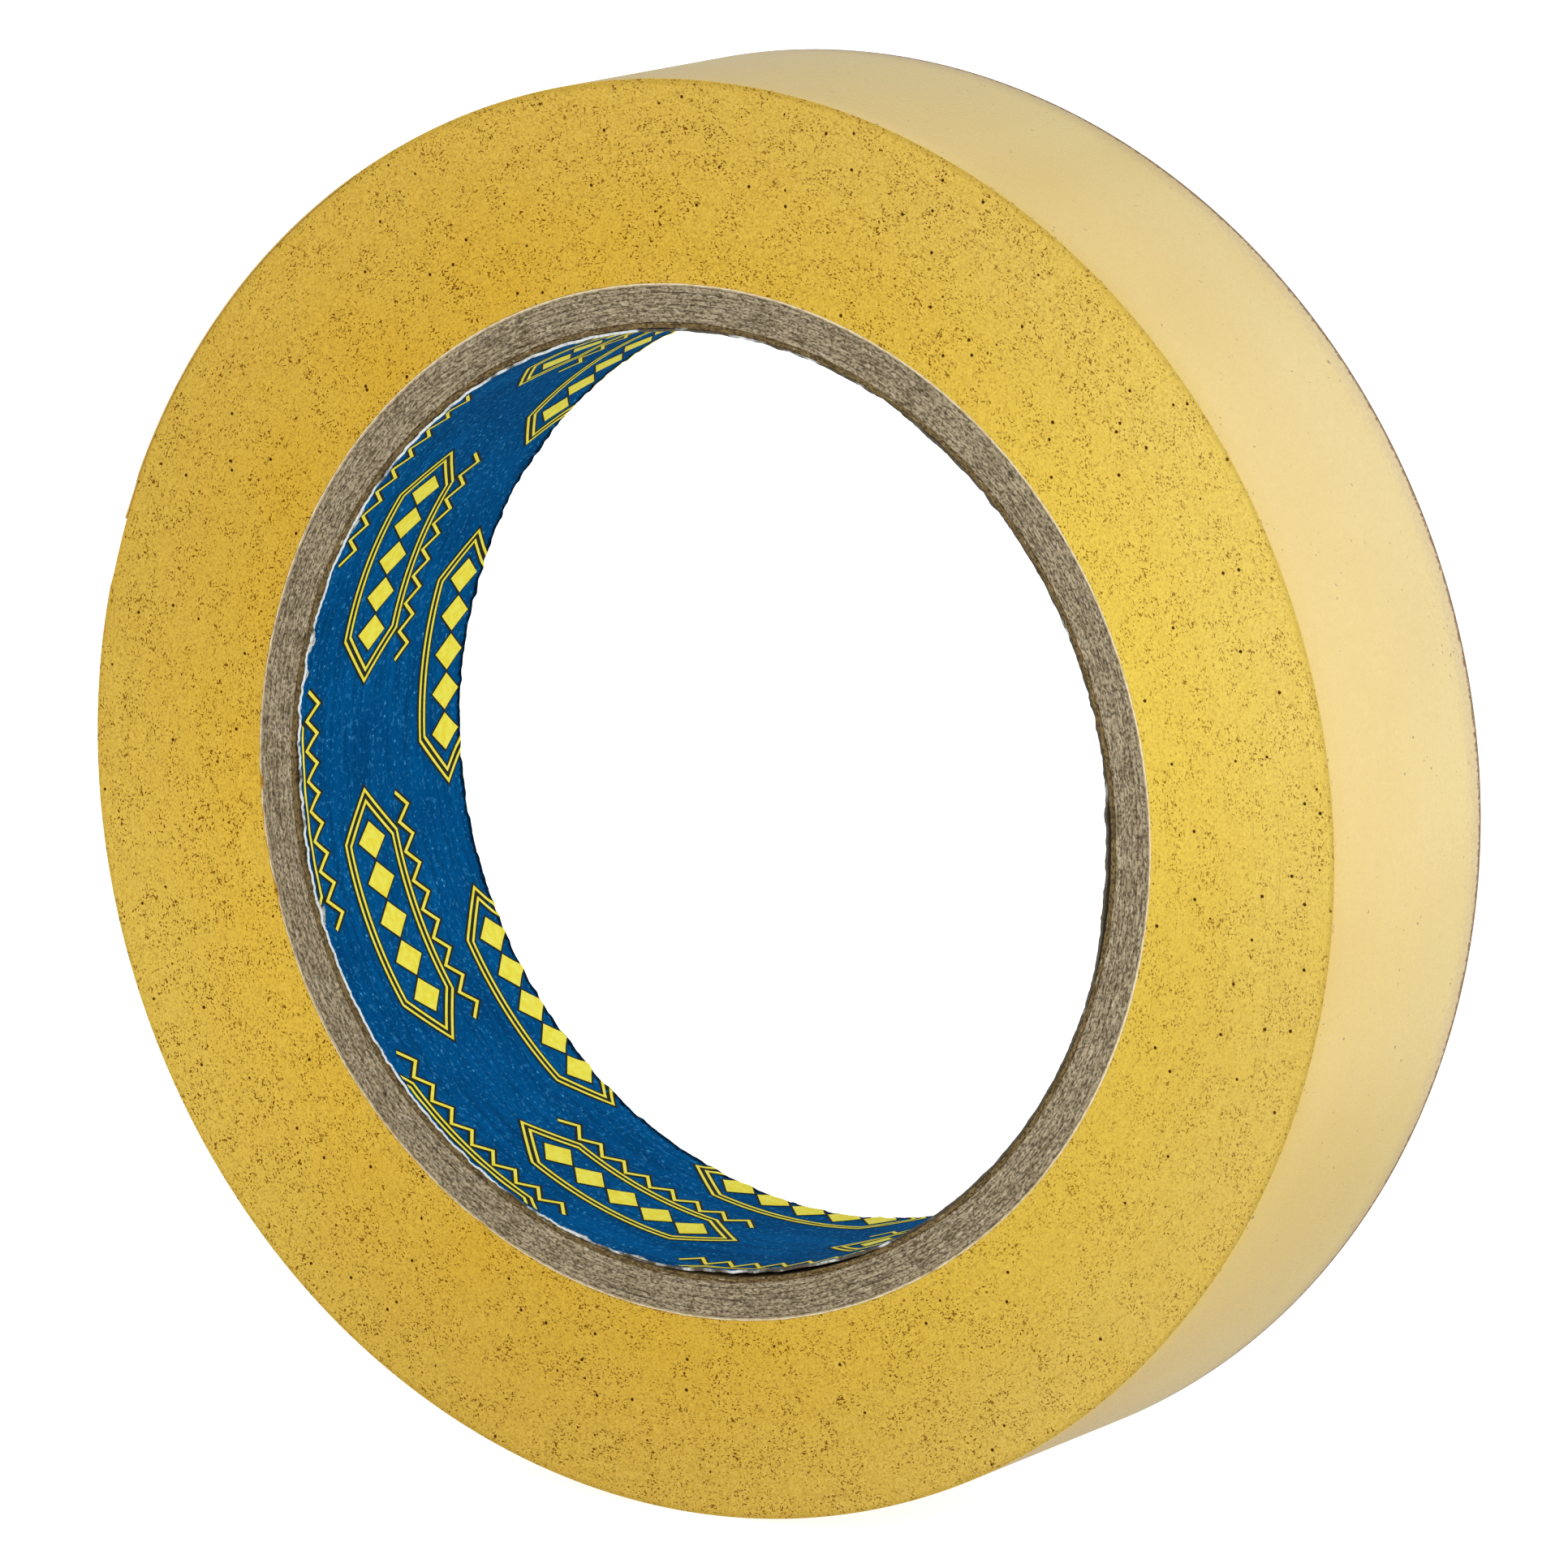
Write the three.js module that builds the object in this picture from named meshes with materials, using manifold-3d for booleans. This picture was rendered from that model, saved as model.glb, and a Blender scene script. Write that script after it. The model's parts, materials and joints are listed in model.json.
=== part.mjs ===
// A roll of adhesive tape on a spiral-wound paper core. Millimetres, +Z up.
//
// The roll stands on its rim. Its axis runs along Y, the origin is the middle of the bore, and the front
// face looks towards -Y. Angles round the roll are measured from +X towards +Z.
import * as THREE from 'three';
import { mergeVertices } from 'three/addons/utils/BufferGeometryUtils.js';
import Module from 'manifold-3d';

const wasm = await Module();
wasm.setup();

// Driving dimensions.
const boreRadius = 38; // a 76 mm core
const rollRadius = 58.08; // outer surface at the tip of the tape
const rollWidth = 24.1;
const glueLine = 0.02; // bond between two plies, and between the core and the tape

// The core's plies from the bore outwards; a board ply repeats `count` times.
const linerPly = { thickness: 0.25, color: 0x11609a, roughness: 0.45 };
const kraftPly = { thickness: 0.45, color: 0x655438, roughness: 0.9 };
const boardPly = { thickness: 0.475, color: 0x8b7f66, roughness: 0.92, count: 6 };
const wrapPly = { thickness: 0.28, color: 0xd8c8a0, roughness: 0.85 };

// Each ply is a strip wound on a helix, so it has one slanting butt seam. The seams are staggered.
const plyLead = 123; // how far a seam runs along the bore in one turn
const seamGap = 0.12;
const seamReach = 0.5; // how far the cut that opens a seam passes every surface of its ply
const seamSteps = 14;
const firstSeamAngle = THREE.MathUtils.degToRad(-14.5);
const seamStagger = THREE.MathUtils.degToRad(137.5);

// The tape and its free end, which lies on the outer turn and peels off from its tip.
const tapeThickness = 0.13;
const underTapeGap = 0.04; // the lifted end's clearance over the turn below
const tapeColor = 0xd1ab46;
const tapeEndColor = 0xeed8a0;
const endAnchorAngle = THREE.MathUtils.degToRad(123.75);
const endSegments = 5;
const facetsPerEndSegment = 2;
const endSegmentGap = 0.05; // slit between two segments of the free end

// Facets round the roll: every ring shares the same angles, so the thin plies nest without touching.
const facets = 96;
const facetAngle = (2 * Math.PI) / facets;
const endAngle = endSegments * facetsPerEndSegment * facetAngle;

const roll = new THREE.Group();

function addMesh(name, geometry, { color, roughness }) {
  const material = new THREE.MeshStandardMaterial({ color, roughness, metalness: 0 });
  const mesh = new THREE.Mesh(geometry, material);
  mesh.name = name;
  roll.add(mesh);
  return mesh;
}

function toSolid(geometry) {
  geometry.deleteAttribute('normal');
  geometry.deleteAttribute('uv');
  const merged = mergeVertices(geometry);
  const vertProperties = new Float32Array(merged.attributes.position.array);
  const triVerts = new Uint32Array(merged.index.array);
  return new wasm.Manifold(new wasm.Mesh({ numProp: 3, vertProperties, triVerts }));
}

function toGeometry(solid) {
  const mesh = solid.getMesh();
  const geometry = new THREE.BufferGeometry();
  geometry.setAttribute('position', new THREE.BufferAttribute(mesh.vertProperties, 3));
  geometry.setIndex(new THREE.BufferAttribute(mesh.triVerts, 1));
  return geometry;
}

// The blade that opens a seam: a thin box between two radii, twisted round the roll's axis by the
// ply's lead. `seamAngle` is where it crosses the middle of the width.
function seamBlade(innerRadius, outerRadius, seamAngle) {
  const low = innerRadius - seamReach;
  const high = outerRadius + seamReach;
  const length = rollWidth + 2 * seamReach;
  const blade = new THREE.BoxGeometry(high - low, seamGap, length, 1, 1, seamSteps);
  blade.translate((low + high) / 2, 0, 0);
  const place = blade.attributes.position;
  for (let i = 0; i < place.count; i += 1) {
    const along = place.getZ(i);
    const angle = seamAngle + (2 * Math.PI * along) / plyLead;
    const x = place.getX(i);
    const across = place.getY(i);
    place.setXYZ(
      i,
      x * Math.cos(angle) - across * Math.sin(angle),
      along,
      x * Math.sin(angle) + across * Math.cos(angle),
    );
  }
  flipFaces(blade); // swapping Y and Z mirrors the box
  return blade;
}

function flipFaces(geometry) {
  const corners = geometry.index;
  for (let i = 0; i < corners.count; i += 3) {
    const first = corners.getX(i);
    corners.setX(i, corners.getX(i + 1));
    corners.setX(i + 1, first);
  }
}

// One ply of the core: a tube whose axis is Y, open along its seam. Returns the next ply's bore radius.
function addPly(name, innerRadius, seamAngle, ply) {
  const outerRadius = innerRadius + ply.thickness - glueLine;
  const half = rollWidth / 2;
  const profile = [
    new THREE.Vector2(innerRadius, -half),
    new THREE.Vector2(outerRadius, -half),
    new THREE.Vector2(outerRadius, half),
    new THREE.Vector2(innerRadius, half),
    new THREE.Vector2(innerRadius, -half),
  ];
  const tube = toSolid(new THREE.LatheGeometry(profile, facets));
  const blade = toSolid(seamBlade(innerRadius, outerRadius, seamAngle));
  addMesh(name, toGeometry(tube.subtract(blade)), ply);
  return innerRadius + ply.thickness;
}

function polar(radius, angle) {
  return new THREE.Vector2(radius * Math.cos(angle), radius * Math.sin(angle));
}

// A flat outline in the roll's plane, given the roll's width. The outline's y becomes the roll's Z.
function addAcrossRoll(name, shape, finish) {
  const geometry = new THREE.ExtrudeGeometry(shape, { depth: rollWidth, bevelEnabled: false });
  const mesh = addMesh(name, geometry, finish);
  mesh.rotation.x = Math.PI / 2;
  mesh.position.y = rollWidth / 2;
}

// Radius of the outer turn's surface. `back` is the angle from the tip back along the strip: the tape
// winds inwards by one thickness a turn.
function turnRadius(back) {
  return rollRadius - (tapeThickness * back) / (2 * Math.PI);
}

// The wound tape. Under the free end its surface is one thickness lower, and a small step marks each
// end of that stretch.
function woundTapeShape(innerRadius) {
  const tipAngle = endAnchorAngle + endAngle;
  const coveredFacets = endSegments * facetsPerEndSegment;
  const outline = [];
  for (let i = 0; i <= coveredFacets; i += 1) {
    const back = i * facetAngle;
    outline.push(polar(turnRadius(back) - tapeThickness - underTapeGap, tipAngle - back));
  }
  for (let i = coveredFacets; i <= facets; i += 1) {
    const back = i * facetAngle;
    outline.push(polar(turnRadius(back), tipAngle - back));
  }
  const shape = new THREE.Shape(outline);
  const bore = [];
  for (let i = 0; i < facets; i += 1) {
    bore.push(polar(innerRadius, i * facetAngle));
  }
  shape.holes.push(new THREE.Path(bore));
  return shape;
}

// One segment of the free end, from `start` onwards round the roll.
function endSegmentShape(start) {
  const slit = endSegmentGap / 2 / rollRadius;
  const outer = [];
  const inner = [];
  for (let i = 0; i <= facetsPerEndSegment; i += 1) {
    let angle = start + i * facetAngle;
    if (i === 0) angle += slit;
    if (i === facetsPerEndSegment) angle -= slit;
    const radius = turnRadius(endAnchorAngle + endAngle - angle);
    outer.push(polar(radius, angle));
    inner.unshift(polar(radius - tapeThickness, angle));
  }
  return new THREE.Shape([...outer, ...inner]);
}

const plies = [['printed_liner', linerPly], ['kraft_ply', kraftPly]];
for (let i = 1; i <= boardPly.count; i += 1) {
  plies.push([`board_ply_${i}`, boardPly]);
}
plies.push(['white_outer_ply', wrapPly]);

let radius = boreRadius;
plies.forEach(([name, ply], i) => {
  radius = addPly(name, radius, firstSeamAngle + i * seamStagger, ply);
});

addAcrossRoll('wound_tape', woundTapeShape(radius), { color: tapeColor, roughness: 0.6 });

for (let i = 0; i < endSegments; i += 1) {
  const start = endAnchorAngle + i * facetsPerEndSegment * facetAngle;
  addAcrossRoll(`tape_end_${i + 1}`, endSegmentShape(start), { color: tapeEndColor, roughness: 0.35 });
}

export default roll;
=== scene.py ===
# The looks of a roll of adhesive tape on a spiral-wound paper core. Metres, +Z up.
#
# Angles round the roll run from +X towards +Z. The roll's axis is Y and its front face looks to -Y.
# Each piece is a fine mesh that stands for a plainer CAD node of the same size and place.
import json
import math

import bmesh
import bpy
import numpy as np
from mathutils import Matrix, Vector


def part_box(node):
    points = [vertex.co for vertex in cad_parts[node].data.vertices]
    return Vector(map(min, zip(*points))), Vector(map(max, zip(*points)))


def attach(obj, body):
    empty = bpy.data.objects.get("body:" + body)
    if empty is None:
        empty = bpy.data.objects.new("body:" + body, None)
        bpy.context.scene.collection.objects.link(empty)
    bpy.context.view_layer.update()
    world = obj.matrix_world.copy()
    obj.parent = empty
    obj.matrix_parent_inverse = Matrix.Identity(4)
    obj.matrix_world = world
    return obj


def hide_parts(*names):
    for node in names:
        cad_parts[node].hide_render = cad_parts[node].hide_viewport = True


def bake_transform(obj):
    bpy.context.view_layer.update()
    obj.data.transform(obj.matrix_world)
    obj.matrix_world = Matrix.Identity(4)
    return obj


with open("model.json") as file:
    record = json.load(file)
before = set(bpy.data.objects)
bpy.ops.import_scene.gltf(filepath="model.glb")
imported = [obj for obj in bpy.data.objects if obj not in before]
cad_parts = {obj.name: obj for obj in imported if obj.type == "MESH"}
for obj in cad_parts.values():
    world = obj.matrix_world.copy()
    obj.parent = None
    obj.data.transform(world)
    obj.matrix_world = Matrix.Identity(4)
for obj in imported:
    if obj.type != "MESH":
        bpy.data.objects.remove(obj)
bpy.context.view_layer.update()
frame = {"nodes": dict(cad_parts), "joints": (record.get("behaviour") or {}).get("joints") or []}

TAU = 2 * math.pi
MM = 0.001

# The core's plies run from the printed liner through kraft paper and board to white paper. Each is wound
# on a helix and has one slanting butt seam.
BOARD_PLIES = [f"board_ply_{i}" for i in range(1, 7)]
PLY_LEAD = 123 * MM
SEAM_GAP = 0.12 * MM
FIRST_SEAM = math.radians(-14.5)
SEAM_STAGGER = math.radians(137.5)
SEAM_SWAY = math.radians(90)  # how far round from its seam a ply's mesh still follows the seam's slant
PLY_ROUNDING = 0.04 * MM
LINER_ROUNDING = 0.05 * MM
PLY_END_DEPTH = 0.1 * MM  # only points this near a ply's end are roughened
LINER_EDGE_DEPTH = 1.5 * MM  # how far in from its torn edges the liner's mesh is pulled along

# The tape.
TAPE_THICKNESS = 0.13 * MM
UNDER_TAPE_GAP = 0.04 * MM
TAPE_EDGE_RADIUS = 0.1 * MM
FREE_EDGE_ROUNDING = 0.03 * MM
MOST_PROUD = 0.03 * MM  # how far the random relief may lift the wound tape's sides
DENT_DEPTH = 0.11 * MM
DENT_START = (-4.2, -2.6)  # degrees from the tip between which the dent deepens
DENT_END = (4.6, 6.2)  # degrees from the tip between which it fades out
TIP_LIFT = 0.05 * MM
TIP_LIFT_DEGREES = 1.4

# Mesh fineness.
PLY_COLUMNS = 540
LINER_COLUMNS = 1200
PLY_ROWS = 24
TAPE_COLUMNS = 960
SIDE_ROWS = 42
RIM_ROWS = 9
FREE_END_ROWS = 13
END_COLUMN_ANGLE = math.radians(0.25)
SHARP_ANGLE = math.radians(50)

# The camera.
CAMERA_AZIMUTH = math.radians(31.5)
CAMERA_ELEVATION = math.radians(10.32)
CAMERA_DISTANCE = 0.869
CAMERA_SHIFT = (0.874 * MM, -0.14 * MM)  # the aim point, right of and above the roll's centre
CAMERA_LENS = 247.66


# Sizes read from the frame.

def ring_radii(node):
    """The radii of a CAD tube's bore and of its outer surface."""
    corners = np.array([vertex.co for vertex in frame["nodes"][node].data.vertices])
    reach = np.hypot(corners[:, 0], corners[:, 2])
    inner = np.median(reach[reach < reach.mean()])
    outer = np.median(reach[reach > reach.mean()])
    return inner, outer


HALF_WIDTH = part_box("wound_tape")[1].y
LINER_RADIUS = ring_radii("printed_liner")[0]
HINGE_ANGLES = [math.atan2(joint["pos_m"][2], joint["pos_m"][0]) for joint in frame["joints"]]
END_SEGMENT = HINGE_ANGLES[1] - HINGE_ANGLES[0]
TIP_ANGLE = HINGE_ANGLES[-1] + END_SEGMENT
LAST_HINGE = frame["joints"][-1]["pos_m"]
ROLL_RADIUS = math.hypot(LAST_HINGE[0], LAST_HINGE[2]) + TAPE_THICKNESS * END_SEGMENT / TAU


# Shape helpers.

def smoothstep(value, low, high):
    share = np.clip((value - low) / (high - low), 0, 1)
    return share * share * (3 - 2 * share)


def ripple(seed, angle, lowest, highest, along=0.0, wavelength=0.0, terms=24):
    """Smooth seeded noise of unit spread: cosines with `lowest` to `highest` waves round the roll.

    `along` is a second coordinate in metres; `wavelength` is the shortest wave along it.
    """
    rng = np.random.default_rng(seed)
    total = 0.0
    for _ in range(terms):
        waves = rng.integers(lowest, highest + 1)
        slope = rng.uniform(-1, 1) * (TAU / wavelength if wavelength else 0)
        total = total + np.cos(waves * angle + slope * along + rng.uniform(0, TAU))
    return total * math.sqrt(2 / terms)


def place(radius, angle, along):
    """Points from a radius, an angle round the roll and a distance along its axis."""
    radius, angle, along = np.broadcast_arrays(radius, angle, along)
    return np.stack([radius * np.cos(angle), along, radius * np.sin(angle)], -1)


def make_piece(name, points, faces, slots, materials):
    """A mesh object from points and faces, with its faces pointing out and its rest places stored."""
    corners = points[np.array(faces)]
    fan = np.einsum("ij,ij->", corners[:, 0], np.cross(corners[:, 1], corners[:, 2]))
    fan += np.einsum("ij,ij->", corners[:, 0], np.cross(corners[:, 2], corners[:, 3]))
    if fan < 0:
        faces = faces[:, ::-1]
    mesh = bpy.data.meshes.new(name)
    mesh.from_pydata(points.tolist(), [], faces.tolist())
    mesh.polygons.foreach_set("material_index", slots)
    mesh.update()
    return finish_mesh(name, mesh, materials)


def finish_mesh(name, mesh, materials):
    for polygon in mesh.polygons:
        polygon.use_smooth = True
    mesh.set_sharp_from_angle(angle=SHARP_ANGLE)
    points = np.zeros(len(mesh.vertices) * 3, np.float32)
    mesh.vertices.foreach_get("co", points)
    mesh.attributes.new("rest", "FLOAT_VECTOR", "POINT").data.foreach_set("vector", points)
    for material in materials:
        mesh.materials.append(material)
    piece = bpy.data.objects.new(name, mesh)
    bpy.context.scene.collection.objects.link(piece)
    return piece


def sweep(name, loops, slots, materials, closed):
    """A solid from columns of closed loops of points; `slots` is one material for each loop edge.

    An open sweep gets end caps, which join point j of a loop to its partner, the j-th from the end.
    """
    columns, count = loops.shape[:2]
    first = np.arange(columns if closed else columns - 1)[:, None] * count
    after = (first + count) % (columns * count)
    point = np.arange(count)
    following = (point + 1) % count
    sides = np.stack([first + point, first + following, after + following, after + point], -1)
    faces = [sides.reshape(-1, 4)]
    face_slots = [np.tile(slots, len(first))]
    if not closed:
        near = np.arange(count // 2 - 1)
        far = count - 1 - near
        cap = np.stack([near, far, far - 1, near + 1], -1)
        faces += [cap, cap[:, ::-1] + (columns - 1) * count]
        face_slots += [np.full(2 * len(cap), slots[0])]
    points = loops.reshape(-1, 3)
    return make_piece(name, points, np.concatenate(faces), np.concatenate(face_slots), materials)


# Node helpers. Colours are written as sRGB bytes.

def colour(red, green, blue):
    def linear(byte):
        share = byte / 255
        return share / 12.92 if share <= 0.04045 else ((share + 0.055) / 1.055) ** 2.4

    return (linear(red), linear(green), linear(blue), 1.0)


class Shader:
    """A material's node tree, with a short call for each kind of node used below."""

    def __init__(self, name):
        self.material = bpy.data.materials.new(name)
        self.material.use_nodes = True
        self.tree = self.material.node_tree
        self.tree.nodes.clear()
        rest = self.add("ShaderNodeAttribute", attribute_name="rest").outputs["Vector"]
        scale = (1 / MM, 1 / MM, 1 / MM)
        scaled = self.add("ShaderNodeVectorMath", {0: rest, 1: scale}, operation="MULTIPLY")
        self.place = scaled.outputs[0]  # the place at rest, in millimetres
        parts = self.add("ShaderNodeSeparateXYZ", {0: self.place}).outputs
        self.along = parts[1]
        x_squared = self.math("MULTIPLY", parts[0], parts[0])
        square = self.math("MULTIPLY_ADD", parts[2], parts[2], x_squared)
        self.radius = self.math("SQRT", square)
        self.across_x = self.math("DIVIDE", parts[0], self.radius)
        self.across_z = self.math("DIVIDE", parts[2], self.radius)

    def add(self, kind, inputs=None, **settings):
        made = self.tree.nodes.new(kind)
        for name, value in settings.items():
            setattr(made, name, value)
        for name, value in (inputs or {}).items():
            if isinstance(value, bpy.types.NodeSocket):
                self.tree.links.new(value, made.inputs[name])
            else:
                made.inputs[name].default_value = value
        return made

    def math(self, operation, a, b=0.0, c=0.0):
        return self.add("ShaderNodeMath", {0: a, 1: b, 2: c}, operation=operation).outputs[0]

    def mix(self, factor, a, b):
        return self.add("ShaderNodeMix", {0: factor, 6: a, 7: b}, data_type="RGBA").outputs[2]

    def remap(self, value, low, high, to_low=0.0, to_high=1.0):
        ends = {"From Min": low, "From Max": high, "To Min": to_low, "To Max": to_high}
        inputs = {"Value": value, **ends}
        return self.add("ShaderNodeMapRange", inputs, interpolation_type="SMOOTHSTEP").outputs[0]

    def stain(self, tone, mask, amount, other):
        """`tone` with the share `amount` of the colour `other` where `mask` is 1."""
        return self.mix(self.math("MULTIPLY", mask, amount), tone, other)

    def shade(self, tone, pattern, low, high, amount, other):
        """`tone` going over to the share `amount` of `other` as `pattern` goes from `low` to `high`."""
        return self.mix(self.remap(pattern, low, high, 0, amount), tone, other)

    def vector(self, x, y, z):
        return self.add("ShaderNodeCombineXYZ", {0: x, 1: y, 2: z}).outputs[0]

    def noise(self, size, detail=2.0, roughness=0.5, vector=None):
        """Noise about 0.5 whose features are about `size` millimetres."""
        inputs = {"Vector": vector or self.place, "Scale": 1 / size}
        inputs |= {"Detail": detail, "Roughness": roughness}
        return self.add("ShaderNodeTexNoise", inputs).outputs[0]

    def streaks(self, length, width, across, detail=3.0):
        """Noise stretched round the roll: `length` mm round it and `width` mm as `across` changes."""
        turn = self.math("DIVIDE", self.radius, length)
        x = self.math("MULTIPLY", self.across_x, turn)
        z = self.math("MULTIPLY", self.across_z, turn)
        vector = self.vector(x, self.math("DIVIDE", across, width), z)
        return self.noise(1.0, detail, 0.55, vector)

    def specks(self, spacing, size, share):
        """1 in small round specks of about `size` mm; `share` of the cells of `spacing` mm hold one."""
        cells = self.add("ShaderNodeTexVoronoi", {"Vector": self.place, "Scale": 1 / spacing})
        chance = self.add("ShaderNodeSeparateColor", {0: cells.outputs["Color"]}).outputs
        reach = self.math("MULTIPLY", self.remap(chance[1], 0, 1, 0.45, 1.0), size / spacing)
        inside = self.math("SUBTRACT", reach, cells.outputs["Distance"])
        spot = self.remap(inside, 0.0, 0.35 * size / spacing)
        kept = self.math("LESS_THAN", chance[0], share)
        return self.math("MULTIPLY", spot, kept)

    def bump(self, height, depth, normal=None):
        """`depth` is in millimetres for a height of 1."""
        inputs = {"Height": height, "Distance": depth * MM, "Strength": 1.0}
        if normal is not None:
            inputs["Normal"] = normal
        return self.add("ShaderNodeBump", inputs).outputs[0]

    def finish(self, **inputs):
        named = {name.replace("_", " "): value for name, value in inputs.items()}
        surface = self.add("ShaderNodeBsdfPrincipled", named).outputs[0]
        self.add("ShaderNodeOutputMaterial", {"Surface": surface})
        return self.material


# Materials. Their sizes are in millimetres, as the places in their node trees are.

FACE_SPAN = (43, 57)  # radii between which the side of the tape changes colour
FACE_RIM = (57.4, 57.9)  # radii between which the side of the tape darkens towards the rim
WHITE_SKIN = (41.66, 41.72)  # radii between which the outer ply turns from board to white paper
BACK_EDGE = (11.95, 12.2)  # distances along the roll between which the backing turns to a ragged edge
FLOOR_GLOW = 0.7  # makes the table look as white to the camera as the backdrop
FLOOR_BOUNCE = 0.13


def tape_side_material():
    """The slit sides of the wound tape: waxy paper edges, ochre, peppered with brown pits."""
    paint = Shader("tape_side")
    outwards = paint.remap(paint.radius, *FACE_SPAN)
    tone = paint.mix(outwards, colour(246, 190, 52), colour(244, 196, 80))
    # Painted sheen: the side is painted paler and more lemon towards +X. The dark grain and the pits are
    # also made fainter and fewer towards +X.
    painted_sheen = paint.mix(outwards, colour(255, 231, 104), colour(248, 224, 128))
    tone = paint.shade(tone, paint.across_x, -0.7, 1.0, 0.5, painted_sheen)
    clouds = paint.noise(7, 3, 0.5)
    tone = paint.shade(tone, clouds, 0.35, 0.7, 0.35, colour(248, 206, 88))
    rings = paint.streaks(26, 0.5, paint.radius, 3)
    tone = paint.shade(tone, rings, 0.3, 0.75, 0.12, colour(214, 160, 42))
    grain = paint.noise(0.20, 1, 0.5)
    coarse = paint.remap(paint.across_x, 0.2, 1.0, 0.52, 0.32)
    tone = paint.stain(tone, paint.remap(grain, 0.30, 0.66), coarse, colour(206, 154, 38))
    crowd = paint.remap(paint.noise(1.8, 3, 0.6), 0.38, 0.60, 0.35, 1.0)
    crowd = paint.math("MULTIPLY", crowd, paint.remap(paint.across_x, 0.3, 1.0, 1.0, 0.75))
    pits = paint.remap(paint.streaks(0.22, 0.17, paint.radius, 1), 0.61, 0.66)
    crumbs = paint.remap(paint.noise(0.32, 2, 0.6), 0.625, 0.67)
    scratches = paint.remap(paint.streaks(1.8, 0.16, paint.radius, 2), 0.64, 0.70)
    holes = paint.specks(1.2, 0.18, 0.38)
    pits = paint.math("MULTIPLY", pits, crowd)
    crumbs = paint.math("MULTIPLY", crumbs, crowd)
    tone = paint.stain(tone, scratches, 0.35, colour(150, 100, 20))
    tone = paint.stain(tone, pits, 0.95, colour(118, 54, 0))
    tone = paint.stain(tone, crumbs, 0.85, colour(94, 40, 0))
    tone = paint.stain(tone, holes, 0.95, colour(60, 16, 2))
    tone = paint.shade(tone, paint.radius, *FACE_RIM, 0.35, colour(176, 136, 44))
    hollow = paint.math("MAXIMUM", holes, paint.math("MAXIMUM", crumbs, pits))
    relief = paint.math("SUBTRACT", paint.math("MULTIPLY", rings, 0.4), hollow)
    normal = paint.bump(relief, 0.03, paint.bump(paint.noise(0.9, 2, 0.5), 0.05))
    return paint.finish(
        Base_Color=tone,
        Roughness=paint.remap(grain, 0.3, 0.7, 0.52, 0.62),
        IOR=3.0,
        Specular_IOR_Level=paint.remap(hollow, 0, 0.7, 0.5, 0.0),
        Specular_Tint=colour(255, 249, 128),
        Anisotropic=0.95,
        Tangent=paint.vector(paint.across_x, 0.0, paint.across_z),
        Normal=normal,
    )


def tape_backing_material():
    """The tape's back, seen on the outer turn: smooth amber-cream paper with a soft gloss."""
    paint = Shader("tape_backing")
    tone = paint.mix(paint.remap(paint.along, -12, 12), colour(236, 205, 112), colour(232, 209, 131))
    clouds = paint.noise(14, 2, 0.5)
    tone = paint.shade(tone, clouds, 0.35, 0.7, 0.22, colour(224, 186, 97))
    mottle = paint.noise(0.3, 2, 0.6)
    tone = paint.shade(tone, mottle, 0.35, 0.7, 0.16, colour(206, 160, 82))
    crowd = paint.remap(paint.noise(4, 2, 0.5), 0.42, 0.62, 0.2, 1.0)
    near_back = paint.remap(paint.along, 5, 12, 0.0, 0.03)
    near_front = paint.remap(paint.along, -11.5, -12.05, 0.0, 0.09)
    dust = paint.math("ADD", paint.noise(0.5, 2, 0.6), paint.math("ADD", near_back, near_front))
    crumbs = paint.math("MULTIPLY", paint.remap(dust, 0.70, 0.74), crowd)
    tone = paint.stain(tone, crumbs, 0.8, colour(98, 62, 22))
    frost = paint.math("ADD", paint.along, paint.math("MULTIPLY", mottle, 3.0))
    tone = paint.shade(tone, frost, 10.6, 13.4, 0.5, colour(192, 162, 116))
    ragged = paint.math("ADD", paint.along, paint.math("MULTIPLY", mottle, 0.9))
    tone = paint.shade(tone, ragged, *BACK_EDGE, 0.85, colour(110, 68, 20))
    return paint.finish(
        Base_Color=tone,
        Roughness=paint.remap(mottle, 0.3, 0.7, 0.26, 0.35),
        Specular_IOR_Level=paint.remap(ragged, *BACK_EDGE, 0.62, 0.1),
        Normal=paint.bump(paint.math("SUBTRACT", mottle, crumbs), 0.006, paint.bump(clouds, 0.05)),
    )


def adhesive_material():
    """The tape's sticky side: amber, wetter than the backing, with trapped bubbles."""
    paint = Shader("tape_adhesive")
    clouds = paint.noise(2.6, 3, 0.55)
    tone = paint.mix(paint.remap(clouds, 0.3, 0.7), colour(214, 172, 84), colour(228, 194, 112))
    bubbles = paint.specks(0.9, 0.28, 0.35)
    tone = paint.stain(tone, bubbles, 0.35, colour(244, 222, 160))
    wrinkles = paint.streaks(0.8, 2.5, paint.along, 2)
    relief = paint.math("ADD", paint.math("MULTIPLY", wrinkles, 0.6), bubbles)
    return paint.finish(
        Base_Color=tone,
        Roughness=paint.remap(clouds, 0.3, 0.7, 0.18, 0.32),
        Specular_IOR_Level=0.6,
        Normal=paint.bump(relief, 0.02),
    )


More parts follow.
